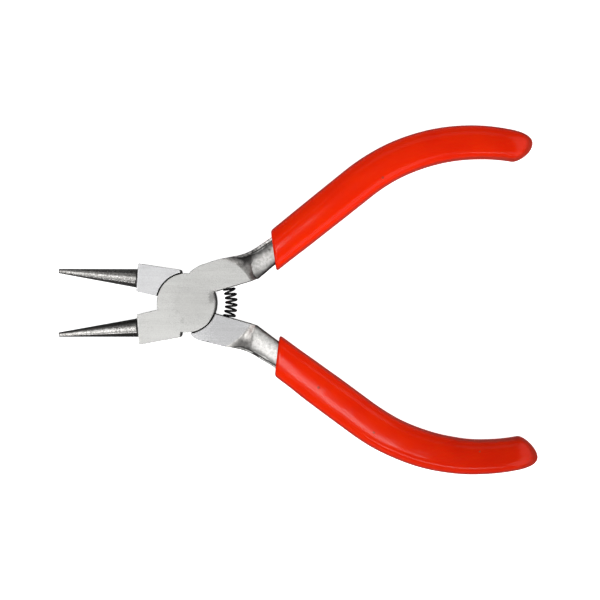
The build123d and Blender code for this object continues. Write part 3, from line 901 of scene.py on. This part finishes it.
# front half: pads with a painted highlight strip along the block's front edge, a neck with painted shade and
# highlight, a jaw with a painted highlight band, and side walls painted dark as shade
front = steel_half("front_half_steel", FRONT, False, [
    forged_steel("neck_steel_front", 1.0, False, FRONT["middle"],
                 [(-3.5, 0.30), (-2.95, 0.32), (-2.5, 0.5), (-2.0, 0.78), (-1.0, 1.10), (0.3, 1.0), (0.9, 0.70), (1.4, 0.40), (1.95, 0.22), (2.2, 1.2), (3.3, 1.2)], (0.24, 0.040), 0.36, (0.52, 0.92)),
    ground_steel("pad_steel_front", (0.288, 0.287, 0.279), 0.10, 1.0, painted_highlight_bands=[end_line(FRONT, False) + (0.5, 0.35)],
                 dark_patches=[(2.2, 0.2, 7.0, 7.0, 0.11), (6.25, 1.45, 0.95, 1.7, 0.42), (-1.0, -4.4, 0.5, 0.9, 0.14), (-2.0, -2.4, 0.9, 0.5, 0.10)]),
    jaw_steel("jaw_steel_front", FRONT["cone_base"], FRONT["cone_tip"], False, 1.0, -0.02, 0.22), side])
# back half: the same painted light in its own amounts
back = steel_half("back_half_steel", BACK, True, [
    forged_steel("neck_steel_back", 2.0, True, BACK["middle"],
                 [(-3.5, 0.26), (-3.1, 0.28), (-2.8, 0.75), (-2.5, 1.12), (-1.0, 1.15), (0.6, 1.12), (1.3, 0.85), (1.75, 0.5), (2.15, 0.24), (2.4, 1.0), (3.3, 1.0)], (0.72, 0.13), 0.42, (0.50, 0.95)),
    ground_steel("pad_steel_back", (0.318, 0.318, 0.322), -0.06, 2.0, painted_highlight_bands=[end_line(BACK, True) + (0.5, 0.35)],
                 dark_patches=[(10.5, -7.0, 9.0, 7.0, 0.24), (4.15, -9.45, 0.36, 0.22, 0.75), (5.35, -9.6, 0.42, 0.2, 0.7)]),
    jaw_steel("jaw_steel_back", BACK["cone_base"], BACK["cone_tip"], True, 2.0, -0.16, 0.50), side])
# sleeves: each takes its own painted shade towards its far end
upper = vinyl_grip("upper_grip_vinyl", FRONT, False, red_vinyl("red_vinyl_upper", 1.0, [(48.6, 31.0, 0.42), (35.4, 17.9, 0.2), (63.0, 34.6, 0.2)], (0.875, 0.85)), 11)
lower = vinyl_grip("lower_grip_vinyl", BACK, True, red_vinyl("red_vinyl_lower", 2.0, [(32.7, -20.95, 0.46), (46.4, -32.1, 0.42), (72.6, -36.8, 0.3)], (0.85, 0.655)), 23)
spring = coil_spring("return_spring_wire", black_wire("black_wire"))
rivet = flush_rivet("pivot_rivet_head", ground_steel("rivet_steel", (0.262, 0.261, 0.253), 0.10, 1.0))

for ob, body, node, slot in ((front, "front", "front_half", "forged_steel"), (back, "back", "back_half", "forged_steel"),
                             (upper, "front", "upper_grip", "grip_vinyl"), (lower, "back", "lower_grip", "grip_vinyl"),
                             (rivet, "front", "pivot_rivet", "rivet_steel")):
    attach(ob, body)
    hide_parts(node)

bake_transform(spring)
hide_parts("return_spring")

# ---------------------------------------------------------------- floor, light, camera
me = bpy.data.meshes.new("floor")
me.from_pydata([(-3, -3, -0.0002), (3, -3, -0.0002), (3, 3, -0.0002), (-3, 3, -0.0002)], [], [(0, 1, 2, 3)])
floor = bpy.data.objects.new("floor", me)
bpy.context.scene.collection.objects.link(floor)
fm = bpy.data.materials.new("floor_paper")
fm.use_nodes = True
fb = fm.node_tree.nodes["Principled BSDF"]
fb.inputs["Base Color"].default_value = (0.9, 0.9, 0.9, 1)
fb.inputs["Roughness"].default_value = 0.9
fb.inputs["Specular IOR Level"].default_value = 0.0
fb.inputs["Emission Color"].default_value = (1, 1, 1, 1)
fb.inputs["Emission Strength"].default_value = 0.8
floor.data.materials.append(fm)
floor.visible_glossy = False         # the paper lights the piece but does not mirror in its walls
floor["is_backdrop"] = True

scene = bpy.context.scene
world = scene.world or bpy.data.worlds.new("world")
scene.world = world
world.use_nodes = True
bg = world.node_tree.nodes["Background"]
bg.inputs["Color"].default_value = (1, 1, 1, 1)
bg.inputs["Strength"].default_value = 0.22


def area(name, loc, aim, size, power):
    d = bpy.data.lights.new(name, "AREA")
    d.shape = "RECTANGLE"
    d.size, d.size_y = size
    d.energy = power
    ob = bpy.data.objects.new(name, d)
    ob.location = loc
    ob.rotation_euler = (Vector(aim) - Vector(loc)).to_track_quat("-Z", "Y").to_euler()
    scene.collection.objects.link(ob)
    return ob


area("softbox_key", (-0.048, -0.175, 0.62), (-0.048, -0.175, 0.0), (0.134, 0.45), 2.13)
area("softbox_grips", (0.045, -0.145, 0.62), (0.045, -0.145, 0.0), (0.08, 0.09), 0.03)
area("softbox_jaws", (-0.22, -0.15, 0.62), (-0.22, -0.15, 0.0), (0.20, 0.85), 0.58)
area("softbox_right", (0.55, 0.15, 0.42), (0.01, 0.0, 0.0), (0.70, 0.45), 1.5)
area("softbox_low", (0.42, -0.36, 0.33), (0.012, -0.008, 0.0), (0.40, 0.40), 0.95)
area("softbox_side", (-0.02, -0.72, 0.42), (0.0, 0.0, 0.0), (0.55, 0.10), 1.5)
area("softbox_fill", (0.02, 0.62, 0.60), (0.0, 0.0, 0.0), (0.6, 0.35), 0.45)

scene.view_settings.view_transform = "Standard"
scene.view_settings.look = "None"

cam_data = bpy.data.cameras.new("camera")
cam_data.lens, cam_data.sensor_width = 96.0, 36.0
cam_data.clip_start, cam_data.clip_end = 0.01, 10.0
cam = bpy.data.objects.new("camera", cam_data)
cam.location = (0.028105, 0.000717, 0.4043)
cam.rotation_euler = (0, 0, 0)
scene.collection.objects.link(cam)
scene.camera = cam

now = [list(v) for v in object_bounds()]
{"cad": [[float(c) for c in v] for v in CAD_BOX], "visual": [[float(c) for c in v] for v in now]}
